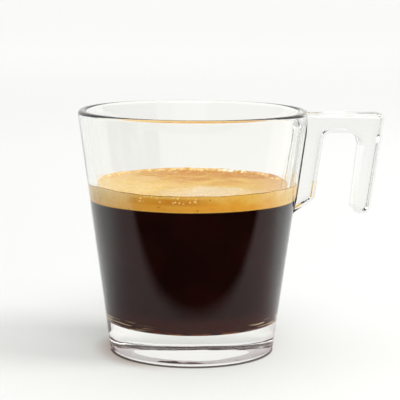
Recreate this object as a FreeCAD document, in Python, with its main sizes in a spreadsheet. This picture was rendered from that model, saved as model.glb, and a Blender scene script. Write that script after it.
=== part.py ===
import FreeCAD, Part
import math
import os
import Sketcher
from FreeCAD import Vector

# A double espresso in its pressed glass cup.
#
# The cup is one piece of clear glass: a straight-sided conical bowl on a thick
# base, with an open, hook-shaped handle moulded on one side.  It holds coffee
# under a layer of crema.
#
# Millimetres, +Z up.  The origin is the centre of the base, on the table, and
# the handle points along +X.

# ------------------------------------------------------------ driving dimensions

SIZES = [
    # the bowl
    ("rim_radius", 30.1, "outer radius at the rim"),
    ("cup_height", 63.7, "table to rim"),
    ("base_radius", 21.55, "outer radius where the wall's line meets the table"),
    ("wall_rim", 2.1, "wall, measured level, at the rim"),
    ("wall_foot", 2.6, "wall, measured level, at the inside floor"),
    ("floor_height", 8.0, "inside floor above the table, the thick clear base"),
    ("inner_corner", 5.0, "rounding between the inside floor and the wall"),
    ("base_edge", 1.5, "rounding of the outer bottom edge"),
    ("lip_round", 0.9, "rounding of both edges of the rim"),
    ("foot_ring", 4.2, "width of the foot, from the wall's line to the hollow"),
    ("push_up", 0.9, "height of the hollow under the base, at its middle"),
    # the handle
    ("handle_drop", 0.8, "top of the handle below the rim"),
    ("handle_out", 20.8, "wall to the handle's outer face, at its top"),
    ("leg_out", 20.4, "wall to the handle's outer face, at the leg's end"),
    ("handle_width", 8.0, "handle across, along Y"),
    ("bar_height", 5.3, "height of the top bar"),
    ("leg_root", 5.9, "thickness of the free leg where it leaves the bar"),
    ("leg_tip", 5.0, "thickness of the free leg at its end"),
    ("leg_bottom", 36.2, "end of the free leg above the table"),
    ("fin_depth", 5.1, "how far the fin on the wall stands out"),
    ("fin_bottom", 36.2, "height where the fin's lower edge meets the wall"),
    ("fin_rise", 3.9, "how much higher that edge is at the fin's outside"),
    ("fin_blend", 4.0, "hollow rounding from the fin into the wall"),
    ("fin_corner", 2.6, "rounding of the fin's outer lower corner"),
    ("arch_fin_side", 2.2, "rounding at the top of the gap, beside the fin"),
    ("arch_leg_side", 3.0, "rounding at the top of the gap, beside the leg"),
    ("top_corner", 1.6, "rounding of the handle's outer top corner"),
    ("handle_edge", 1.3, "rounding along both side faces of the handle"),
    ("root_sink", 0.5, "how deep the fin's toe is sunk into the wall"),
    # the drink
    ("coffee_level", 40.5, "top of the coffee, where the crema starts"),
    ("crema_depth", 4.05, "thickness of the crema"),
    ("meniscus_rise", 0.5, "how far the crema climbs the wall"),
    ("meniscus_width", 1.6, "width of that climbing edge"),
    ("drink_gap", 0.04, "clearance between the drink and the glass"),
]

doc = FreeCAD.newDocument("double_espresso")
sheet = doc.addObject("Spreadsheet::Sheet", "Sizes")
for row, (alias, value, meaning) in enumerate(SIZES, start=1):
    sheet.set(f"A{row}", meaning)
    sheet.set(f"B{row}", str(value))
    sheet.setAlias(f"B{row}", alias)
doc.recompute()


def evaluate(formula):
    """Value of a formula on the sheet's cells, in millimetres."""
    return float(sheet.evalExpression(formula))


# Formulas that several sketches share.
OUTER_LEAN = "(Sizes.rim_radius - Sizes.base_radius) / Sizes.cup_height"
FLOOR_OUTER = f"Sizes.base_radius + {OUTER_LEAN} * Sizes.floor_height"
INNER_FOOT = f"({FLOOR_OUTER} - Sizes.wall_foot)"
INNER_RISE = "(Sizes.cup_height - Sizes.floor_height)"
INNER_LEAN = f"(Sizes.rim_radius - Sizes.wall_rim - {INNER_FOOT}) / {INNER_RISE}"


def outer_wall(height):
    """Formula for the radius of the wall's outer face at a height."""
    return f"(Sizes.base_radius + {OUTER_LEAN} * ({height}))"


def inner_wall(height):
    """Formula for the radius of the wall's inner face at a height."""
    return f"({INNER_FOOT} + {INNER_LEAN} * (({height}) - Sizes.floor_height))"


def middle_of_wall(height):
    """Formula for the radius halfway through the wall at a height."""
    return f"({outer_wall(height)} + {inner_wall(height)}) / 2"


# ------------------------------------------------------------- modelling helpers


def outline_sketch(body, name, corners, bends=None):
    """Draw a closed outline, bound to the sheet, in a body's XZ plane.

    corners holds each corner's formulas for X and Z.  bends gives, for each side
    that is an arc, the formulas of its centre by the index of its first corner.
    """
    bends = bends or {}
    plane = next(item for item in body.Origin.OriginFeatures if item.Role == "XZ_Plane")
    sketch = body.newObject("Sketcher::SketchObject", name)
    sketch.AttachmentSupport = (plane, [""])
    sketch.MapMode = "FlatFace"

    points = [Vector(evaluate(x), evaluate(z), 0) for x, z in corners]
    count = len(points)
    heads = []
    tails = []
    for side, start in enumerate(points):
        end = points[(side + 1) % count]
        head, tail = 1, 2
        if side in bends:
            centre = Vector(*[evaluate(formula) for formula in bends[side]], 0)
            circle = Part.Circle(centre, Vector(0, 0, 1), start.distanceToPoint(centre))
            if (circle.parameter(end) - circle.parameter(start)) % (2 * math.pi) > math.pi:
                start, end = end, start
                head, tail = tail, head
            arc = Part.ArcOfCircle(circle, circle.parameter(start), circle.parameter(end))
            sketch.addGeometry(arc, False)
        else:
            sketch.addGeometry(Part.LineSegment(start, end), False)
        heads.append(head)
        tails.append(tail)

    for side in range(count):
        after = (side + 1) % count
        sketch.addConstraint(
            Sketcher.Constraint("Coincident", side, tails[side], after, heads[after])
        )
    for side, formulas in enumerate(corners):
        bind_point(sketch, side, heads[side], formulas)
    for side, formulas in bends.items():
        bind_point(sketch, side, 3, formulas[:1])
    return sketch


def bind_point(sketch, side, end, formulas):
    """Tie a point's X, and its Z if given, to formulas on the sheet's cells."""
    axes = (("DistanceX", -2), ("DistanceY", -1))
    for (kind, axis), formula in zip(axes, formulas):
        if formula == "0":
            sketch.addConstraint(Sketcher.Constraint("PointOnObject", side, end, axis))
        else:
            value = evaluate(formula)
            constraint = Sketcher.Constraint(kind, -1, 1, side, end, value)
            index = sketch.addConstraint(constraint)
            sketch.setExpression(f"Constraints[{index}]", formula)


def turned(body, sketch, kind="PartDesign::Revolution"):
    """Turn a sketch once round the body's Z axis, to add or, as a groove, to cut."""
    feature = body.newObject(kind, f"{sketch.Name}_turned")
    feature.Profile = sketch
    feature.ReferenceAxis = (sketch, ["V_Axis"])
    feature.Angle = 360
    doc.recompute()
    return feature


def rounded(body, feature, name, edges, radius):
    """Round edges of a body's latest feature by a radius from the sheet."""
    fillet = body.newObject("PartDesign::Fillet", name)
    fillet.Base = (feature, edges)
    fillet.setExpression("Radius", radius)
    doc.recompute()
    return fillet


def ring_edges(feature, x, z):
    """Names of the circular edges round Z that pass through a corner."""
    corner = (evaluate(x), evaluate(z))
    names = []
    for number, edge in enumerate(feature.Shape.Edges, start=1):
        if edge.Degenerated or not isinstance(edge.Curve, Part.Circle):
            continue
        found = (edge.Curve.Radius, edge.Curve.Center.z)
        if math.dist(found, corner) < SAME_PLACE:
            names.append(f"Edge{number}")
    return names


def cross_edges(feature, x, z):
    """Names of the edges along Y that pass through a corner."""
    corner = (evaluate(x), evaluate(z))
    names = []
    for number, edge in enumerate(feature.Shape.Edges, start=1):
        first, last = edge.Vertexes[0].Point, edge.Vertexes[-1].Point
        level = math.dist((first.x, first.z), (last.x, last.z)) < SAME_PLACE
        if level and math.dist((first.x, first.z), corner) < SAME_PLACE:
            names.append(f"Edge{number}")
    return names


SAME_PLACE = 0.001

# -------------------------------------------------------------------- the bowl

bowl = doc.addObject("PartDesign::Body", "bowl")

WALL_TOP_INSIDE = ("Sizes.rim_radius - Sizes.wall_rim", "Sizes.cup_height")
WALL_TOP_OUTSIDE = ("Sizes.rim_radius", "Sizes.cup_height")
WALL_BOTTOM_OUTSIDE = ("Sizes.base_radius", "0")
WALL_BOTTOM_INSIDE = (INNER_FOOT, "Sizes.floor_height")
FOOT_INSIDE = "(Sizes.base_radius - Sizes.foot_ring)"
DOME_RADIUS = f"({FOOT_INSIDE} ^ 2 + Sizes.push_up ^ 2) / (2 * Sizes.push_up)"
# The two rounded edges of the rim share the wall between them.
LIP_ROUND = "min(Sizes.lip_round; 0.46 * Sizes.wall_rim)"

bowl_section = outline_sketch(
    bowl,
    "bowl_section",
    corners=[
        ("0", "Sizes.push_up"),
        (FOOT_INSIDE, "0"),
        WALL_BOTTOM_OUTSIDE,
        WALL_TOP_OUTSIDE,
        WALL_TOP_INSIDE,
        WALL_BOTTOM_INSIDE,
        ("0", "Sizes.floor_height"),
    ],
    bends={0: ("0", f"Sizes.push_up - {DOME_RADIUS}")},
)
bowl_shape = turned(bowl, bowl_section)
for name, corner, radius in (
    ("bottom_edge", WALL_BOTTOM_OUTSIDE, "Sizes.base_edge"),
    ("lip_outside", WALL_TOP_OUTSIDE, LIP_ROUND),
    ("lip_inside", WALL_TOP_INSIDE, LIP_ROUND),
    ("inside_corner", WALL_BOTTOM_INSIDE, "Sizes.inner_corner"),
):
    bowl_shape = rounded(bowl, bowl_shape, name, ring_edges(bowl_shape, *corner), radius)

# ------------------------------------------------------------------ the handle
# A hook in one plane: a fin down the wall, a bar level with the rim, and a free
# leg.  The slab starts inside the bowl, so that its rounded edges run into the
# wall, and is then trimmed back to the middle of the wall.

handle = doc.addObject("PartDesign::Body", "handle")

HANDLE_TOP = "Sizes.cup_height - Sizes.handle_drop"
GAP_TOP = f"{HANDLE_TOP} - Sizes.bar_height"
HANDLE_REACH = f"({outer_wall(HANDLE_TOP)} + Sizes.handle_out)"
LEG_REACH = f"({outer_wall('Sizes.leg_bottom')} + Sizes.leg_out)"
LEG_LEAN = f"({HANDLE_REACH} - {LEG_REACH}) / ({HANDLE_TOP} - Sizes.leg_bottom)"
LEG_OUTSIDE_AT_GAP = f"({HANDLE_REACH} - {LEG_LEAN} * Sizes.bar_height)"
FIN_CORNER_HEIGHT = "Sizes.fin_bottom + Sizes.fin_rise"
# The toe runs down inside the wall for the length of its hollow rounding.
TOE_END = "Sizes.fin_bottom - Sizes.fin_blend"
# The leg ends in a full round, but for a sliver of flat between its two corners.
TIP_ROUND = "0.46 * Sizes.leg_tip"
ROOT_DEPTH = "3 * Sizes.handle_edge"

TOP_OUTSIDE = (HANDLE_REACH, HANDLE_TOP)
TIP_OUTSIDE = (LEG_REACH, "Sizes.leg_bottom")
TIP_INSIDE = (f"{LEG_REACH} - Sizes.leg_tip", "Sizes.leg_bottom")
ARCH_LEG = (f"{LEG_OUTSIDE_AT_GAP} - Sizes.leg_root", GAP_TOP)
ARCH_FIN = (f"{outer_wall(GAP_TOP)} + Sizes.fin_depth", GAP_TOP)
FIN_OUTSIDE = (f"{outer_wall(FIN_CORNER_HEIGHT)} + Sizes.fin_depth", FIN_CORNER_HEIGHT)
FIN_AT_WALL = (f"{outer_wall('Sizes.fin_bottom')} - Sizes.root_sink", "Sizes.fin_bottom")

handle_outline = outline_sketch(
    handle,
    "handle_outline",
    corners=[
        (f"{middle_of_wall(HANDLE_TOP)} - {ROOT_DEPTH}", HANDLE_TOP),
        TOP_OUTSIDE,
        TIP_OUTSIDE,
        TIP_INSIDE,
        ARCH_LEG,
        ARCH_FIN,
        FIN_OUTSIDE,
        FIN_AT_WALL,
        (f"{outer_wall(TOE_END)} - Sizes.root_sink", TOE_END),
        (f"{middle_of_wall(TOE_END)} - {ROOT_DEPTH}", TOE_END),
    ],
)
handle_shape = handle.newObject("PartDesign::Pad", "handle_slab")
handle_shape.Profile = handle_outline
handle_shape.SideType = "Symmetric"
handle_shape.setExpression("Length", "Sizes.handle_width")
doc.recompute()
for name, corner, radius in (
    ("top_corner_round", TOP_OUTSIDE, "Sizes.top_corner"),
    ("tip_outside_round", TIP_OUTSIDE, TIP_ROUND),
    ("tip_inside_round", TIP_INSIDE, TIP_ROUND),
    ("arch_leg_round", ARCH_LEG, "Sizes.arch_leg_side"),
    ("arch_fin_round", ARCH_FIN, "Sizes.arch_fin_side"),
    ("fin_corner_round", FIN_OUTSIDE, "Sizes.fin_corner"),
    ("fin_blend_round", FIN_AT_WALL, "Sizes.fin_blend"),
):
    edges = cross_edges(handle_shape, *corner)
    handle_shape = rounded(handle, handle_shape, name, edges, radius)


def side_edges(feature):
    """Names of the edges round the slab's two side faces, outside the bowl."""
    half_width = evaluate("Sizes.handle_width") / 2
    names = []
    for number, edge in enumerate(feature.Shape.Edges, start=1):
        middle = edge.valueAt((edge.FirstParameter + edge.LastParameter) / 2)
        on_side = abs(abs(middle.y) - half_width) < SAME_PLACE
        if on_side and middle.x > evaluate(middle_of_wall(str(middle.z))):
            names.append(f"Edge{number}")
    return names


edges = side_edges(handle_shape)
rounded(handle, handle_shape, "handle_edge_round", edges, "Sizes.handle_edge")

root_trim = outline_sketch(
    handle,
    "root_trim",
    corners=[
        ("0", "0"),
        (middle_of_wall("0"), "0"),
        (middle_of_wall("Sizes.cup_height"), "Sizes.cup_height"),
        ("0", "Sizes.cup_height"),
    ],
)
turned(handle, root_trim, "PartDesign::Groove")

# The bowl and the handle are pressed as one piece of glass.
glass = doc.addObject("Part::Fuse", "glass")
glass.Base = bowl
glass.Tool = handle
glass.Refine = True

# ------------------------------------------------------------------- the drink


def against_wall(height):
    """Formula for the drink's radius at a height, just clear of the glass."""
    return f"{inner_wall(height)} - Sizes.drink_gap"


# Coffee: fills the bowl from its rounded floor up to the crema.
coffee = doc.addObject("PartDesign::Body", "coffee")
COFFEE_BOTTOM = "Sizes.floor_height + Sizes.drink_gap"
COFFEE_CORNER = (against_wall(COFFEE_BOTTOM), COFFEE_BOTTOM)
coffee_section = outline_sketch(
    coffee,
    "coffee_section",
    corners=[
        ("0", COFFEE_BOTTOM),
        COFFEE_CORNER,
        (against_wall("Sizes.coffee_level"), "Sizes.coffee_level"),
        ("0", "Sizes.coffee_level"),
    ],
)
coffee_shape = turned(coffee, coffee_section)
rounded(
    coffee,
    coffee_shape,
    "coffee_corner_round",
    ring_edges(coffee_shape, *COFFEE_CORNER),
    "Sizes.inner_corner - Sizes.drink_gap",
)

# Crema: a layer of fine foam on the coffee, drawn up a little where it meets the
# wall.  The climbing edge is an arc that leaves the level top smoothly.
crema = doc.addObject("PartDesign::Body", "crema")
CREMA_LEVEL = "(Sizes.coffee_level + Sizes.crema_depth)"
CREMA_EDGE = f"{CREMA_LEVEL} + Sizes.meniscus_rise"
CREMA_LEVEL_END = f"{against_wall(CREMA_EDGE)} - Sizes.meniscus_width"
CLIMB_RADIUS = (
    "(Sizes.meniscus_width ^ 2 + Sizes.meniscus_rise ^ 2) / (2 * Sizes.meniscus_rise)"
)
crema_section = outline_sketch(
    crema,
    "crema_section",
    corners=[
        ("0", "Sizes.coffee_level"),
        (against_wall("Sizes.coffee_level"), "Sizes.coffee_level"),
        (against_wall(CREMA_EDGE), CREMA_EDGE),
        (CREMA_LEVEL_END, CREMA_LEVEL),
        ("0", CREMA_LEVEL),
    ],
    bends={2: (CREMA_LEVEL_END, f"{CREMA_LEVEL} + {CLIMB_RADIUS}")},
)
turned(crema, crema_section)

# -------------------------------------------------------------- check and write

doc.recompute()

NODES = {"glass": glass, "coffee": coffee, "crema": crema}

for item in doc.Objects:
    faults = [state for state in item.State if state in ("Invalid", "Error")]
    if faults:
        raise RuntimeError(f"{item.Label}: {faults}")

os.makedirs("parts", exist_ok=True)
for label, node in NODES.items():
    node.Label = label
    node.Placement = FreeCAD.Placement()
    shape = node.Shape
    if shape.isNull() or not shape.isValid() or len(shape.Solids) != 1:
        raise RuntimeError(f"{label}: not one valid solid")
    shape.exportStep(f"parts/{label}.step")
    box = shape.BoundBox
    print(
        f"{label}: {shape.Volume / 1000:.2f} ml,"
        f" X {box.XMin:.2f}..{box.XMax:.2f}, Y {box.YMin:.2f}..{box.YMax:.2f},"
        f" Z {box.ZMin:.2f}..{box.ZMax:.2f}"
    )
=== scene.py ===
import math
import random

import bmesh
import bpy
from mathutils import Matrix, Vector, noise


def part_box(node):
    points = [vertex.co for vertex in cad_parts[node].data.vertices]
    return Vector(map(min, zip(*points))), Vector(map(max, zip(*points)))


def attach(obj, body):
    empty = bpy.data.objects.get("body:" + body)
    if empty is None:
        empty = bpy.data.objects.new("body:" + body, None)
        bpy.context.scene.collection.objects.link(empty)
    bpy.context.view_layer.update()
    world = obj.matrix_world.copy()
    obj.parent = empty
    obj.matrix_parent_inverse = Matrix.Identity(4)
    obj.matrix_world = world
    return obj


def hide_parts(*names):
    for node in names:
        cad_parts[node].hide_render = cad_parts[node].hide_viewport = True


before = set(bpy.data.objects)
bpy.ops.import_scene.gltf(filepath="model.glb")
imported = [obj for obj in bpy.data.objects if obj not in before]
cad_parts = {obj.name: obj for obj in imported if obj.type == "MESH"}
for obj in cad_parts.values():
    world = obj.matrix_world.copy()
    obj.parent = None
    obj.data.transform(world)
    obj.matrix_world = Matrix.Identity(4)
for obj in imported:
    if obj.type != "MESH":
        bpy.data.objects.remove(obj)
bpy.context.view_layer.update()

# ------------------------------------------------------------------ glass cup
# One piece of clear pressed glass: a straight-sided conical bowl on a thick base,
# with an open hook of a handle.  The bowl is turned, the handle is a rounded slab
# joined to it, and the hollow is then turned out of both, as the mould does it.

MM = 0.001
glass_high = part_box("glass")[1]
coffee_low, coffee_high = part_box("coffee")

cup_height = glass_high.z
rim_radius = 30.1 * MM
base_radius = 21.55 * MM
wall_rim = 2.1 * MM
wall_foot = 2.6 * MM
drink_clearance = 0.04 * MM
floor_height = coffee_low.z - drink_clearance
inner_corner = 5.0 * MM
base_edge = 1.5 * MM
lip_round = 0.9 * MM
foot_ring = 4.2 * MM
push_up = 0.9 * MM

outer_lean = (rim_radius - base_radius) / cup_height
inner_foot = base_radius + outer_lean * floor_height - wall_foot
inner_lean = (rim_radius - wall_rim - inner_foot) / (cup_height - floor_height)

turn_steps = 288
arc_steps = 12


def outer_wall(height):
    return base_radius + outer_lean * height


def inner_wall(height):
    return inner_foot + inner_lean * (height - floor_height)


def rounded(corners, closed=False):
    """Points of an outline whose corners (x, z, radius) are replaced by arcs."""
    points = []
    count = len(corners)
    for index, (x, z, radius) in enumerate(corners):
        here = Vector((x, z))
        if radius == 0 or (not closed and index in (0, count - 1)):
            points.append(here)
            continue
        before = Vector(corners[index - 1][:2])
        after = Vector(corners[(index + 1) % count][:2])
        back = (before - here).normalized()
        ahead = (after - here).normalized()
        half = back.angle(ahead) / 2
        reach = radius / math.tan(half)
        centre = here + (back + ahead).normalized() * radius / math.sin(half)
        first = here + back * reach - centre
        sweep = first.angle_signed(here + ahead * reach - centre)
        for step in range(arc_steps + 1):
            turn = Matrix.Rotation(-sweep * step / arc_steps, 2)
            points.append(centre + turn @ first)
    return points


def mesh_piece(name, vertices, faces):
    mesh = bpy.data.meshes.new(name)
    mesh.from_pydata(vertices, [], faces)
    mesh.update()
    piece = bpy.data.objects.new(name, mesh)
    bpy.context.scene.collection.objects.link(piece)
    return piece


def face_outward(piece):
    """Merges a closed mesh's points that coincide, and turns its faces all outward."""
    shape = bmesh.new()
    shape.from_mesh(piece.data)
    bmesh.ops.remove_doubles(shape, verts=shape.verts, dist=1e-7)
    bmesh.ops.recalc_face_normals(shape, faces=shape.faces)
    shape.to_mesh(piece.data)
    shape.free()


def turned(name, profile):
    """A closed solid turned round Z from a profile that starts and ends on the axis."""
    vertices = []
    faces = []
    for step in range(turn_steps):
        angle = 2 * math.pi * step / turn_steps
        for radius, height in profile:
            vertices.append((radius * math.cos(angle), radius * math.sin(angle), height))
    size = len(profile)
    for step in range(turn_steps):
        here = step * size
        there = (step + 1) % turn_steps * size
        for i in range(size - 1):
            ring = [here + i, there + i, there + i + 1, here + i + 1]
            if profile[i][0] == 0:
                ring.pop(1)
            elif profile[i + 1][0] == 0:
                ring.pop(2)
            faces.append(ring)
    piece = mesh_piece(name, vertices, faces)
    face_outward(piece)
    return piece


def combined(base, tool, operation):
    """The first piece with the second joined to it or cut from it."""
    cut = base.modifiers.new("combined", "BOOLEAN")
    cut.operation = operation
    cut.solver = "EXACT"
    cut.object = tool
    result = bpy.data.meshes.new_from_object(
        base.evaluated_get(bpy.context.evaluated_depsgraph_get())
    )
    base.modifiers.clear()
    base.data = result
    bpy.data.objects.remove(tool)
    return base


def without_slivers(piece):
    """Takes out the faces without area that joining and cutting leave."""
    sliver = 0.002 * MM
    shape = bmesh.new()
    shape.from_mesh(piece.data)
    bmesh.ops.remove_doubles(shape, verts=shape.verts, dist=sliver)
    bmesh.ops.dissolve_degenerate(shape, edges=shape.edges, dist=sliver)
    shape.to_mesh(piece.data)
    shape.free()


def smoothed(piece, sharp_from):
    """Shades a piece smooth, but for edges that turn by more than an angle."""
    for face in piece.data.polygons:
        face.use_smooth = True
    piece.data.set_sharp_from_angle(angle=math.radians(sharp_from))
    weigh = piece.modifiers.new("even_faces", "WEIGHTED_NORMAL")
    weigh.keep_sharp = True
    weigh.weight = 60


# Under the base, a shallow hollow leaves a foot ring to stand on.
foot_inside = base_radius - foot_ring
dome = []
dome_steps = 12
dome_radius = (foot_inside**2 + push_up**2) / (2 * push_up)
for step in range(dome_steps + 1):
    radius = foot_inside * step / dome_steps
    drop = dome_radius - math.sqrt(dome_radius**2 - radius**2)
    dome.append(Vector((radius, max(push_up - drop, 0))))

outer_profile = dome + rounded(
    [
        (foot_inside, 0, 0),
        (base_radius, 0, base_edge),
        (rim_radius, cup_height, lip_round),
        (0, cup_height, 0),
    ]
)[1:]
cup = turned("glass_cup", outer_profile)

handle_drop = 0.8 * MM
handle_top = cup_height - handle_drop
bar_height = 5.3 * MM
gap_top = handle_top - bar_height
leg_bottom = 36.2 * MM
leg_stand_off = 20.4 * MM
handle_reach = glass_high.x
leg_reach = outer_wall(leg_bottom) + leg_stand_off
leg_lean = (handle_reach - leg_reach) / (handle_top - leg_bottom)
leg_root = 5.9 * MM
leg_tip = 5.0 * MM
tip_round = 0.46 * leg_tip
bar_round = 1.6 * MM
leg_gap_round = 3.0 * MM
fin_gap_round = 2.2 * MM
fin_round = 2.6 * MM
fin_depth = 5.1 * MM
fin_bottom = 36.2 * MM
fin_taper = 3.9 * MM
fin_corner = fin_bottom + fin_taper
fin_blend = 4.0 * MM
handle_edge = 1.3 * MM
handle_crown = 2.4 * MM
handle_half = 4.0 * MM
root_sink = 0.5 * MM
root_depth = 6 * MM
toe_end = fin_bottom - fin_blend

handle_outline = rounded(
    [
        (outer_wall(handle_top) - root_depth, handle_top, 0),
        (handle_reach, handle_top, bar_round),
        (leg_reach, leg_bottom, tip_round),
        (leg_reach - leg_tip, leg_bottom, tip_round),
        (handle_reach - leg_lean * bar_height - leg_root, gap_top, leg_gap_round),
        (outer_wall(gap_top) + fin_depth, gap_top, fin_gap_round),
        (outer_wall(fin_corner) + fin_depth, fin_corner, fin_round),
        (outer_wall(fin_bottom) - root_sink, fin_bottom, fin_blend),
        (outer_wall(toe_end) - root_sink, toe_end, 0),
        (outer_wall(toe_end) - root_depth, toe_end, 0),
    ],
    closed=True,
)


def rounded_slab(name, outline, half_width, edge, crown):
    """A slab across Y of an outline in X and Z, its sides crowned towards their edges."""
    count = len(outline)
    inward = []
    for i, here in enumerate(outline):
        along = (outline[(i + 1) % count] - outline[i - 1]).normalized()
        inward.append(Vector((along.y, -along.x)))
    steps = 8
    rings = []
    for step in range(steps + 1):
        angle = math.pi / 2 * step / steps
        rings.append((edge * (1 - math.sin(angle)), half_width - crown * (1 - math.cos(angle))))
    rings += [(inset, -across) for inset, across in reversed(rings)]
    vertices = []
    for inset, across in rings:
        for here, aside in zip(outline, inward):
            spot = here + aside * inset
            vertices.append((spot.x, across, spot.y))
    faces = []
    for ring in range(len(rings) - 1):
        for i in range(count):
            after = (i + 1) % count
            near = ring * count
            far = near + count
            faces.append((near + i, near + after, far + after, far + i))
    faces.append(range(count))
    faces.append(range(len(vertices) - count, len(vertices)))
    piece = mesh_piece(name, vertices, faces)
    face_outward(piece)
    return piece


handle = rounded_slab(
    "handle_slab", handle_outline, handle_half, handle_edge, handle_crown
)
cup = combined(cup, handle, "UNION")

# A small blend runs up either side, where the handle meets the wall.
blend = 0.8 * MM
blend_sink = 0.7 * MM
blend_low = fin_bottom + 0.5 * MM
blend_high = handle_top - 1.6 * MM
blend_arc = 6
blend_rings = 14
for side in (1, -1):
    vertices = []
    for ring in range(blend_rings + 1):
        share = ring / blend_rings
        height = blend_low + (blend_high - blend_low) * share
        taper = max(0.06, min(1.0, 7 * share, 7 * (1 - share)))
        radius = blend * taper
        wall = outer_wall(height)
        aside = handle_half + radius
        centre = Vector((math.sqrt((wall + radius) ** 2 - aside**2), aside))
        last = math.atan2(-centre.y, -centre.x)
        for step in range(blend_arc + 1):
            angle = -math.pi / 2 + (last + math.pi / 2) * step / blend_arc
            spot = centre + radius * Vector((math.cos(angle), math.sin(angle)))
            vertices.append((spot.x, side * spot.y, height))
        inside = centre * (wall - blend_sink) / (wall + radius)
        vertices.append((inside.x, side * inside.y, height))
        vertices.append((inside.x, side * (handle_half - blend_sink), height))
        vertices.append((centre.x, side * (handle_half - blend_sink), height))
    around = blend_arc + 4
    faces = [range(around), range(len(vertices) - around, len(vertices))]
    for ring in range(blend_rings):
        near = ring * around
        for i in range(around):
            after = (i + 1) % around
            faces.append((near + i, near + after, near + around + after, near + around + i))
    strip = mesh_piece("wall_blend", vertices, faces)
    face_outward(strip)
    cup = combined(cup, strip, "UNION")

# The hollow has a rounded floor corner, and rounds the lip's inner edge as it leaves.
inner_rim = rim_radius - wall_rim
hollow_top = cup_height + 2 * MM
hollow_profile = rounded(
    [
        (0, floor_height, 0),
        (inner_foot, floor_height, inner_corner),
        (inner_rim, cup_height, 0),
    ]
)[:-1]
lip_half = (math.pi / 2 + math.atan(inner_lean)) / 2
lip_reach = lip_round / math.tan(lip_half)
lip_turn = math.pi / 2 - math.atan(inner_lean)
lip_centre = Vector((inner_rim + lip_reach, cup_height - lip_round))
for step in range(arc_steps + 1):
    angle = math.pi - math.atan(inner_lean) - lip_turn * step / arc_steps
    hollow_profile.append(
        lip_centre + lip_round * Vector((math.cos(angle), math.sin(angle)))
    )
hollow_profile.append(Vector((inner_rim + lip_reach, hollow_top)))
hollow_profile.append(Vector((0, hollow_top)))
cup = combined(cup, turned("hollow", hollow_profile), "DIFFERENCE")
without_slivers(cup)
smoothed(cup, sharp_from=28)


class Wire:
    """One output of a material's node, which takes part in sums like a number."""

    def __init__(self, tree, socket):
        self.tree = tree
        self.socket = socket

    def node(self, kind, settings=None, sockets=None, output=0):
        """Adds a node: its settings first, then its sockets' values or wires."""
        made = self.tree.nodes.new(kind)
        for name, value in (settings or {}).items():
            setattr(made, name, value)
        for name, value in (sockets or {}).items():
            if isinstance(value, Wire):
                self.tree.links.new(value.socket, made.inputs[name])
            else:
                made.inputs[name].default_value = value
        return Wire(self.tree, made.outputs[output])

    def math(self, operation, first, second=0.0):
        return self.node("ShaderNodeMath", {"operation": operation}, {0: first, 1: second})

    def __add__(self, other):
        return self.math("ADD", self, other)

    def __sub__(self, other):
        return self.math("SUBTRACT", self, other)

    def __rsub__(self, other):
        return self.math("SUBTRACT", other, self)

    def __mul__(self, other):
        return self.math("MULTIPLY", self, other)

    __radd__ = __add__
    __rmul__ = __mul__

    def between(self, low, high):
        """0 below low, 1 above high, and smooth from one to the other."""
        return self.node(
            "ShaderNodeMapRange",
            {"interpolation_type": "SMOOTHSTEP"},
            {"Value": self, "From Min": low, "From Max": high},
        )

    def mixed(self, under, over):
        """One colour over another, by as much as this value says."""
        return self.node(
            "ShaderNodeMix", {"data_type": "RGBA"}, {0: self, 6: under, 7: over}, output=2
        )

    def axis(self, index):
        """One number of a place: 0 to the right, 1 to the back, 2 up."""
        return self.node("ShaderNodeSeparateXYZ", {}, {0: self}, output=index)

    def distance_from(self, spot):
        """How far a place is from a spot."""
        return self.node(
            "ShaderNodeVectorMath", {"operation": "DISTANCE"}, {0: self, 1: spot}, output=1
        )

    def scaled(self, *scale):
        """The place with each of its axes scaled, which stretches what is drawn on it."""
        return self.node("ShaderNodeMapping", {}, {"Vector": self, "Scale": scale})

    def grain(self, scale, detail=2.0):
        """Cloudy patches, 0 to 1, finer as the scale goes up."""
        return self.node(
            "ShaderNodeTexNoise", {}, {"Vector": self, "Scale": scale, "Detail": detail}
        )

    def cells(self, scale):
        """Round cells that lie close together: 0 at a cell's middle, more at its edge."""
        return self.node("ShaderNodeTexVoronoi", {}, {"Vector": self, "Scale": scale})

    def bump(self, strength, distance):
        """A normal that stands the surface out where this value is high."""
        return self.node(
            "ShaderNodeBump",
            {},
            {"Strength": strength, "Distance": distance, "Height": self},
        )

    def into(self, socket):
        self.tree.links.new(self.socket, socket)


def colour(red, green, blue):
    """A colour given as it is seen, 0 to 255, as the linear one that nodes take."""
    seen = [value / 255 for value in (red, green, blue)]
    linear = [v / 12.92 if v <= 0.04045 else ((v + 0.055) / 1.055) ** 2.4 for v in seen]
    return (*linear, 1)


def new_finish(name, constants):
    """A material, its shader with constant sockets set, and a wire of the place."""
    material = bpy.data.materials.new(name)
    material.use_nodes = True
    shader = material.node_tree.nodes["Principled BSDF"]
    for socket, value in constants.items():
        shader.inputs[socket].default_value = value
    source = material.node_tree.nodes.new("ShaderNodeTexCoord")
    return material, shader, Wire(material.node_tree, source.outputs["Object"])


# The handle is the thickest glass, so it is a shade greyer.  The mould leaves all of it
# faintly wavy, in long streaks up and down, and the heel has rounder, stronger waves.
heel_top = 7 * MM
cup.data.materials.clear()
for name, tint in (("wall_glass", (254, 254, 252)), ("handle_glass", (249, 249, 247))):
    pressed_glass, shader, place = new_finish(
        name,
        {
            "Base Color": colour(*tint),
            "Roughness": 0.0,
            "IOR": 1.5,
            "Transmission Weight": 1.0,
        },
    )
    streaky = place.scaled(1.0, 1.0, 0.12).grain(200.0, detail=1.5)
    heel = 1 - place.axis(2).between(2 * MM, heel_top)
    wave = streaky + heel * place.grain(140.0, detail=0.6) * 4.2
    wave.bump(0.08, 0.6 * MM).into(shader.inputs["Normal"])
    cup.data.materials.append(pressed_glass)
wall_slack = 0.02 * MM
for face in cup.data.polygons:
    x, y, z = face.center
    in_handle = z > toe_end and math.hypot(x, y) > outer_wall(z) + wall_slack
    face.material_index = 1 if in_handle else 0
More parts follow.
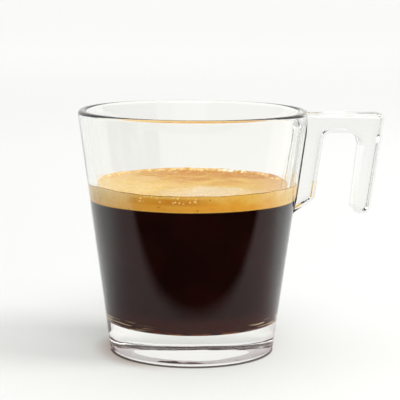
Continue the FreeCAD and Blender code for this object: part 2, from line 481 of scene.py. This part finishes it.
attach(cup, "root")
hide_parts("glass")
# Light reaches the drink and the table through the clear walls.
cup.visible_shadow = False

# --------------------------------------------------------------------- coffee
# The drink itself: near-black coffee that fills the bowl from its rounded floor
# to the crema.  Round its thin bottom edge it is painted red-brown, for light that
# shines through it there.  It is turned a little larger than the hollow, so that it
# wets the glass.

wetting = 0.10 * MM
under_crema = 0.5 * MM
coffee_top = coffee_high.z + under_crema
coffee_profile = rounded(
    [
        (0, floor_height - wetting, 0),
        (inner_wall(floor_height) + wetting, floor_height - wetting, inner_corner),
        (inner_wall(coffee_top) + wetting, coffee_top, 0),
    ]
)
coffee_profile.append(Vector((0, coffee_top)))
coffee = turned("coffee_body", coffee_profile)
smoothed(coffee, sharp_from=40)

dark_roast, shader, place = new_finish(
    "dark_roast", {"Roughness": 0.3, "IOR": 1.33, "Specular IOR Level": 0.05}
)
height = place.axis(2)
# Painted light: red-brown where the coffee is thin round its bottom edge, as light shines
# through it.
thin_backlit_edge = 1 - height.between(floor_height - 0.5 * MM, floor_height + 6 * MM)
cloud = place.grain(90.0).between(0.35, 0.7)
deep = cloud.mixed(colour(18, 1, 0), colour(28, 4, 2))
body = thin_backlit_edge.mixed(deep, colour(70, 22, 12))
# The thick base throws orange glints into the rounded corner.
flat = place.node(
    "ShaderNodeVectorMath", {"operation": "MULTIPLY"}, {0: place, 1: (1.0, 1.0, 0.0)}
)
outward = flat.distance_from((0.0, 0.0, 0.0))
at_corner = outward.between(inner_foot - inner_corner, inner_foot - 0.6 * inner_corner)
glow = (1 - height.between(floor_height + 0.1 * MM, floor_height + 0.9 * MM)) * at_corner
glints = place.grain(420.0, detail=1.0).between(0.42, 0.62)
body = (glow * glints * 0.7).mixed(body, colour(214, 130, 62))
# Painted highlights: thin pale streaks lie along the corner at the drink's two ends, left and
# right, where the rounded corner catches the light.
across = place.axis(0)
ends = (across * across).between(80 * MM**2, 260 * MM**2)
corner_glints = place.scaled(1.0, 1.0, 14.0).grain(150.0, detail=1.0).between(0.54, 0.60)
lowest = 1 - height.between(floor_height + 1.5 * MM, floor_height + 2.8 * MM)
body = (lowest * ends * corner_glints).mixed(body, colour(240, 216, 170))
body.into(shader.inputs["Base Color"])
coffee.data.materials.append(dark_roast)
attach(coffee, "root")
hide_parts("coffee")

# ---------------------------------------------------------------------- crema
# A layer of fine golden foam, about four millimetres deep, that floats on the
# coffee and climbs the wall a little.  Its skirt lies against the glass, and its
# top is gently uneven.

crema_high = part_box("crema")[1]
climb_rise = 0.5 * MM
climb_width = 1.6 * MM
crema_level = crema_high.z - climb_rise
crema_bottom = coffee_high.z
crema_reach = 0.12 * MM
crema_turns = 360


def unevenness(x, y, size, seed):
    """Smooth swells of a size, from -1 to 1, another set for each seed."""
    return noise.noise(Vector((x / size, y / size, seed)))


def crema_top_height(x, y):
    """Height of the foam's top at a place: level, uneven, and climbing at the wall."""
    radius = math.hypot(x, y)
    edge = inner_wall(crema_level) + crema_reach
    swell = 0.16 * MM * unevenness(x, y, 9 * MM, 1.3)
    fine = 0.05 * MM * unevenness(x, y, 1.6 * MM, 4.1)
    climb = max(0.0, 1 - (edge - radius) / climb_width)
    angle = math.atan2(y, x)
    ragged = 0.8 + 0.5 * unevenness(math.cos(angle), math.sin(angle), 0.22, 7.7)
    ragged -= 0.7 * max(0.0, -math.sin(angle)) ** 3
    return crema_level + swell + fine + climb_rise * ragged * climb**2


# The top is drawn in rings from the middle out, and the skirt goes on down from them.
crema_vertices = []
crema_faces = []
top_rings = 90
for ring in range(top_rings + 1):
    share = ring / top_rings
    for step in range(crema_turns):
        angle = 2 * math.pi * step / crema_turns
        radius = (inner_wall(crema_level) + crema_reach) * math.sin(math.pi / 2 * share) ** 0.9
        x, y = radius * math.cos(angle), radius * math.sin(angle)
        crema_vertices.append((x, y, crema_top_height(x, y)))
line_width = 0.14 * MM
skirt_rings = 10
for ring in range(1, skirt_rings + 1):
    for step in range(crema_turns):
        angle = 2 * math.pi * step / crema_turns
        x, y, top = crema_vertices[top_rings * crema_turns + step]
        bottom = crema_bottom + 0.10 * MM * unevenness(
            math.cos(angle), math.sin(angle), 0.5, 2.9
        )
        bottom += 0.14 * MM * math.cos(angle)
        z = top - line_width + (bottom + line_width - top) * (ring - 1) / (skirt_rings - 1)
        radius = inner_wall(z) + crema_reach
        crema_vertices.append((radius * math.cos(angle), radius * math.sin(angle), z))
crema_vertices.append((0, 0, crema_bottom))
under_centre = len(crema_vertices) - 1
ring_count = top_rings + skirt_rings
for ring in range(ring_count):
    for step in range(crema_turns):
        after = (step + 1) % crema_turns
        near, far = ring * crema_turns, (ring + 1) * crema_turns
        crema_faces.append((near + step, far + step, far + after, near + after))
for step in range(crema_turns):
    last = ring_count * crema_turns
    crema_faces.append((last + step, under_centre, last + (step + 1) % crema_turns))
crema = mesh_piece("crema_foam", crema_vertices, crema_faces)
face_outward(crema)
smoothed(crema, sharp_from=60)

# The top is palest at the left, browner at the back and right, and finely pitted.
golden_foam, shader, place = new_finish(
    "golden_foam", {"IOR": 1.35, "Specular IOR Level": 0.08, "Coat Roughness": 0.16}
)
leftward = 0 - place.axis(0)
backward = place.axis(1)
patches = place.grain(130.0, detail=3.0).between(0.35, 0.65)
mottle = place.grain(520.0, detail=3.0).between(0.35, 0.68)
fine = place.grain(1500.0)
bubble_walls = place.cells(1150.0).between(0.3, 0.6)
specks = 1 - place.cells(420.0).between(0.08, 0.16)
brown = (backward + (patches - 0.5) * (16 * MM)).between(-5 * MM, 14 * MM)
skin = brown.mixed(colour(216, 178, 90), colour(188, 120, 26))
skin = (mottle * 0.4).mixed(skin, colour(220, 182, 98))
pale = (leftward + (patches - 0.5) * (12 * MM)).between(2 * MM, 20 * MM) * 0.7
skin = pale.mixed(skin, colour(236, 208, 146))
right_end = (0 - leftward).between(10 * MM, 24 * MM) * 0.55
skin = right_end.mixed(skin, colour(204, 152, 106))
skin = (bubble_walls * 0.16).mixed(skin, colour(150, 92, 26))
skin = (specks * 0.45).mixed(skin, colour(150, 88, 30))
skin.into(shader.inputs["Base Color"])
(0.42 + fine * 0.25).into(shader.inputs["Roughness"])
# A wet film near the front has a ragged edge, and mirrors the light there.
from_film = place.distance_from((3 * MM, -17 * MM, crema_level))
dry = (from_film + (patches - 0.5) * (6 * MM)).between(4 * MM, 15 * MM)
film = (1 - dry) * 0.95 + 0.02
film.into(shader.inputs["Coat Weight"])
relief = fine + mottle + bubble_walls * -0.4
relief.bump(0.5, 0.16 * MM).into(shader.inputs["Normal"])
crema.data.materials.append(golden_foam)

# Against the glass the foam is finer and deeper in colour, palest at its two ends,
# with a brown band and some larger pale bubbles in its left half.
foam_on_glass, shader, place = new_finish(
    "foam_on_glass", {"IOR": 1.35, "Roughness": 0.6, "Specular IOR Level": 0.03}
)
height = place.axis(2) - crema_bottom
patches = place.grain(150.0, detail=3.0).between(0.3, 0.7)
mottle = place.grain(480.0, detail=3.0).between(0.35, 0.68)
cells = place.cells(1150.0)
across = place.axis(0)
ends = (across * across).between(100 * MM**2, 520 * MM**2)
upper = (height + (patches - 0.5) * (1.8 * MM)).between(1.2 * MM, 4.2 * MM)
low = ends.mixed(colour(224, 160, 58), colour(238, 200, 124))
high = ends.mixed(colour(226, 182, 88), colour(244, 218, 160))
skin = upper.mixed(low, high)
left_of_middle = across.between(-18 * MM, -15 * MM) * (1 - across.between(-2 * MM, 6 * MM))
band = height.between(1.3 * MM, 2.3 * MM) * (1 - height.between(3.1 * MM, 3.8 * MM))
skin = (band * left_of_middle * (patches * 0.5 + 0.3)).mixed(skin, colour(196, 120, 22))
skin = (1 - height.between(0.0, 0.5 * MM)).mixed(skin, colour(232, 178, 84))
skin = (cells.between(0.3, 0.6) * mottle * 0.22).mixed(skin, colour(208, 126, 30))
caught = (1 - cells.between(0.18, 0.38)) * place.grain(230.0).between(0.44, 0.52)
caught = caught * height.between(2.0 * MM, 2.6 * MM) * left_of_middle * 0.85
skin = caught.mixed(skin, colour(250, 222, 150))
specks = 1 - place.cells(420.0).between(0.06, 0.12)
(specks * 0.7).mixed(skin, colour(150, 84, 24)).into(shader.inputs["Base Color"])
crema.data.materials.append(foam_on_glass)

# A broken brown line, where the foam has dried on the glass, rings its upper edge.
tide_mark, shader, place = new_finish("tide_mark", {"Roughness": 0.5, "IOR": 1.35})
broken = place.grain(300.0, detail=3.0).between(0.3, 0.65)
broken.mixed(colour(176, 108, 40), colour(92, 50, 20)).into(shader.inputs["Base Color"])
crema.data.materials.append(tide_mark)
for face in crema.data.polygons:
    middle = face.center
    edge_height = crema_top_height(middle.x, middle.y)
    if math.hypot(middle.x, middle.y) > inner_wall(middle.z) + 0.5 * crema_reach:
        at_line = middle.z > edge_height - line_width
        face.material_index = 2 if at_line else 1
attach(crema, "root")
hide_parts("crema")

# ------------------------------------------------------------ bubbles on crema
# Small clear-skinned bubbles that gather where the crema meets the glass, most at
# the far side, and a scatter of finer ones over the top.  Each is a low dome.

random.seed(11)
bubble_vertices = []
bubble_faces = []


def add_bubble(x, y, radius):
    """A bubble's dome, closed below and sunk a third of its height into the foam."""
    around, upward = 10, 4
    base_height = crema_top_height(x, y) - 0.35 * radius
    first = len(bubble_vertices)
    for level in range(upward):
        tilt = math.pi / 2 * level / upward
        for step in range(around):
            angle = 2 * math.pi * step / around
            reach = radius * math.cos(tilt)
            bubble_vertices.append(
                (
                    x + reach * math.cos(angle),
                    y + reach * math.sin(angle),
                    base_height + radius * math.sin(tilt),
                )
            )
    bubble_vertices.append((x, y, base_height + radius))
    bubble_vertices.append((x, y, base_height - 0.05 * radius))
    crown, under = len(bubble_vertices) - 2, len(bubble_vertices) - 1
    for level in range(upward - 1):
        for step in range(around):
            after = (step + 1) % around
            near = first + level * around
            far = near + around
            bubble_faces.append((near + step, near + after, far + after, far + step))
    top_ring = first + (upward - 1) * around
    for step in range(around):
        after = (step + 1) % around
        bubble_faces.append((top_ring + step, top_ring + after, crown))
        bubble_faces.append((first + after, first + step, under))


wall_at_level = inner_wall(crema_level)


def bubble_by_wall(angle, size, spread):
    """A bubble that touches the glass, or lies up to about a spread away from it."""
    reach = wall_at_level - 0.95 * size - abs(random.gauss(0, spread))
    add_bubble(reach * math.cos(angle), reach * math.sin(angle), size)


# All round the wall, then towards the back, over the top, and large ones at the back
# right, where they stand clear.
for _ in range(420):
    angle = random.uniform(0, 2 * math.pi)
    gather = unevenness(math.cos(angle), math.sin(angle), 0.35, 5.5)
    if gather > -0.05 or random.random() < 0.25:
        bubble_by_wall(angle, random.uniform(0.10, 0.26) * MM, 0.5 * MM)
for _ in range(520):
    angle = random.gauss(math.radians(92), math.radians(34))
    bubble_by_wall(angle, random.uniform(0.2, 0.5) * MM, 0.7 * MM)
for _ in range(60):
    angle = random.gauss(math.radians(76), math.radians(24))
    bubble_by_wall(angle, random.uniform(0.55, 1.0) * MM, 0.5 * MM)
for _ in range(900):
    angle = random.uniform(0, 2 * math.pi)
    reach = wall_at_level * math.sqrt(random.random()) * 0.97
    size = random.uniform(0.05, 0.16) * MM
    add_bubble(reach * math.cos(angle), reach * math.sin(angle), size)
# Last, large ones near the back right, which the bubble finish paints with highlights.
for _ in range(14):
    angle = random.gauss(math.radians(57), math.radians(5))
    bubble_by_wall(angle, random.uniform(0.5, 0.85) * MM, 0.7 * MM)
bubbles = mesh_piece("crema_bubbles", bubble_vertices, bubble_faces)
for face in bubbles.data.polygons:
    face.use_smooth = True

bubble_skin, shader, place = new_finish(
    "bubble_skin",
    {"Roughness": 0.3, "IOR": 1.33, "Coat Weight": 0.6, "Coat Roughness": 0.04},
)
tint = place.grain(700.0).between(0.3, 0.7)
skin = tint.mixed(colour(204, 150, 60), colour(244, 214, 144))
# Painted highlights: bubbles near the back right are tinted near white, for glints of light on
# them.
from_glinting_ones = place.distance_from((13.3 * MM, 20.5 * MM, crema_level))
clear = (1 - from_glinting_ones.between(2 * MM, 5 * MM)) * tint.between(0.3, 0.7)
clear.mixed(skin, colour(255, 248, 228)).into(shader.inputs["Base Color"])
bubbles.data.materials.append(bubble_skin)
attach(bubbles, "root")

# ------------------------------------------------------- table, light, camera
# A plain white table before a white backdrop, under soft light from all round and
# a softbox on the right.  Black flags in front, at the sides and behind the camera
# give the glass its dark edges.

handle_turn = math.radians(4.3)
to_camera = Matrix.Rotation(-handle_turn, 4, "Z")


def card(name, corners):
    """A flat stage piece, its corners given as the camera sees the cup."""
    return mesh_piece(name, [to_camera @ Vector(corner) for corner in corners], [(0, 1, 2, 3)])


table_half = 4.0
table_front = -2.0
table_back = 5.5
backdrop_top = 3.5
floor = card(
    "table",
    [
        (-table_half, table_front, 0),
        (table_half, table_front, 0),
        (table_half, table_back, 0),
        (-table_half, table_back, 0),
    ],
)
white_table, shader, place = new_finish(
    "white_table", {"Roughness": 0.7, "IOR": 1.4, "Emission Strength": 1.0}
)
leftward = 0 - place.axis(0)
backward = place.axis(1)
radius = place.distance_from((0.0, 0.0, 0.0))
behind = backward.between(-1 * MM, 1 * MM)
# Painted light: the table is lighter towards the back, where more light falls.
paper = backward.between(-0.05, 0.5).mixed(colour(222, 223, 220), colour(236, 236, 234))
# Painted shadows: the table is darkened brown beside the foot on the left, and dark under the
# foot's front edge.
foot_shadow = (1 - radius.between(21.2 * MM, 27.5 * MM)) * leftward.between(4 * MM, 18 * MM)
paper = (foot_shadow * 0.55).mixed(paper, colour(168, 142, 126))
contact_shadow = radius.between(19.8 * MM, 20.6 * MM) * (1 - radius.between(21.4 * MM, 21.8 * MM))
paper = (contact_shadow * (1 - behind) * 0.85).mixed(paper, colour(66, 54, 46))
paper.into(shader.inputs["Base Color"])
# Painted light: the table glows more towards the back, so that it fades into the backdrop, and
# glows in patches under the base's back half, where the base gathers light.
far_glow = backward.between(0.05, 1.5).mixed(colour(0, 0, 0), colour(120, 120, 119))
under_foot = 1 - radius.between(21.2 * MM, 21.6 * MM)
gathered = behind * under_foot * place.grain(260.0).between(0.3, 0.62) * 0.9
gathered.mixed(far_glow, colour(176, 175, 170)).into(shader.inputs["Emission Color"])
# From below the table isn't there, so the cup's underside can be seen.
from_below = place.node("ShaderNodeNewGeometry", output=6)
(1 - from_below).into(shader.inputs["Alpha"])
floor.data.materials.append(white_table)

backdrop = card(
    "backdrop",
    [
        (-table_half, table_back, 0),
        (table_half, table_back, 0),
        (table_half, table_back, backdrop_top),
        (-table_half, table_back, backdrop_top),
    ],
)
lit_paper, shader, place = new_finish(
    "lit_paper", {"Base Color": colour(60, 60, 60), "Roughness": 0.8, "Emission Strength": 0.93}
)
place.grain(2.0).mixed(colour(249, 249, 247), colour(251, 251, 249)).into(
    shader.inputs["Emission Color"]
)
backdrop.data.materials.append(lit_paper)

# The front flag lies just over the table, and its veil thins out towards the cup.
off_table = 0.6 * MM
flags_front = -0.8
front_half = 0.6
front_back = 0.06
front_flag = card(
    "front_flag",
    [
        (-front_half, flags_front, off_table),
        (front_half, flags_front, off_table),
        (front_half, front_back, off_table),
        (-front_half, front_back, off_table),
    ],
)
behind_camera_half = 1.6
behind_camera_top = 1.2
camera_flag = card(
    "camera_flag",
    [
        (-behind_camera_half, flags_front, 0),
        (behind_camera_half, flags_front, 0),
        (behind_camera_half, flags_front, behind_camera_top),
        (-behind_camera_half, flags_front, behind_camera_top),
    ],
)
black_cloth, shader, place = new_finish(
    "black_cloth", {"Roughness": 0.9, "Specular IOR Level": 0.0}
)
nearness = 0 - place.axis(1)
solid = nearness.between(41 * MM, 56 * MM)
solid.mixed(colour(135, 54, 48), colour(4, 4, 4)).into(shader.inputs["Base Color"])
height = place.axis(2)
aside = place.axis(0)
window = 1 - (aside * aside).between(0.05, 0.16)
fade = 1 - (height + window * 0.5).between(0.6, 0.8)
thin_veil = nearness.between(-40 * MM, 20 * MM) * 0.45
((thin_veil + solid * 0.55) * fade).into(shader.inputs["Alpha"])


def side_flag(name, aside):
    """A flag that stands at one side of the cup, from the front to past its back."""
    back = 0.4
    top = 0.5
    return card(
        name,
        [
            (aside, flags_front, 0),
            (aside, back, 0),
            (aside, back, top),
            (aside, flags_front, top),
        ],
    )


left_flag = side_flag("left_flag", -0.7)
right_flag = side_flag("right_flag", 0.7)
side_cloth, shader, place = new_finish(
    "side_cloth", {"Roughness": 0.9, "Specular IOR Level": 0.0}
)
place.grain(5.0).mixed(colour(4, 4, 4), colour(20, 19, 18)).into(shader.inputs["Base Color"])
(1 - place.axis(2).between(0.2, 0.5)).into(shader.inputs["Alpha"])
# Only the right flag is also seen through the glass, and none is seen directly.
for flag, cloth in (
    (front_flag, black_cloth),
    (camera_flag, black_cloth),
    (left_flag, side_cloth),
    (right_flag, side_cloth),
):
    flag.data.materials.append(cloth)
    flag.visible_camera = False
    flag.visible_diffuse = False
    flag.visible_shadow = False
    flag.visible_transmission = flag is right_flag

world = bpy.data.worlds.new("white_room")
world.use_nodes = True
world.node_tree.nodes["Background"].inputs["Color"].default_value = (1, 1, 1, 1)
world.node_tree.nodes["Background"].inputs["Strength"].default_value = 0.87
bpy.context.scene.world = world


def soft_light(name, spot, aim, size, power):
    lamp = bpy.data.lights.new(name, "AREA")
    lamp.shape = "RECTANGLE"
    lamp.size, lamp.size_y = size
    lamp.energy = power
    holder = bpy.data.objects.new(name, lamp)
    holder.location = to_camera @ Vector(spot)
    facing = Vector(aim) - holder.location
    holder.rotation_euler = facing.to_track_quat("-Z", "Y").to_euler()
    bpy.context.scene.collection.objects.link(holder)
    return holder


softbox = soft_light("right_softbox", (0.65, -0.12, 0.5), (0, 0, 0.02), (0.35, 0.3), 3.3)
softbox.visible_glossy = False
softbox.visible_transmission = False
soft_light("front_fill", (0.1, -0.75, 0.75), (0, 0, 0.03), (0.9, 0.5), 5.0)

# The camera stands about 0.4 m in front of the cup and looks down a little.
camera_distance = 0.3928
camera_height = 0.1002
pitch = math.radians(8.74)
yaw = math.radians(0.29)
roll = math.radians(0.43)
ahead = Vector(
    (math.sin(yaw) * math.cos(pitch), math.cos(yaw) * math.cos(pitch), -math.sin(pitch))
)
right = Vector((math.cos(yaw), -math.sin(yaw), 0))
up = right.cross(ahead)
right_rolled = math.cos(roll) * right + math.sin(roll) * up
up_rolled = math.cos(roll) * up - math.sin(roll) * right
axes = Matrix((right_rolled, up_rolled, -ahead)).transposed().to_4x4()
lens = bpy.data.cameras.new("camera")
lens.sensor_width = 36
lens.lens = 135.9
lens.clip_start = 0.01
camera = bpy.data.objects.new("camera", lens)
camera.matrix_world = to_camera @ Matrix.Translation((0, -camera_distance, camera_height)) @ axes
bpy.context.scene.collection.objects.link(camera)
bpy.context.scene.camera = camera
bpy.context.scene.view_settings.view_transform = "Standard"
bpy.context.scene.cycles.transmission_bounces = 16
bpy.context.scene.cycles.max_bounces = 20
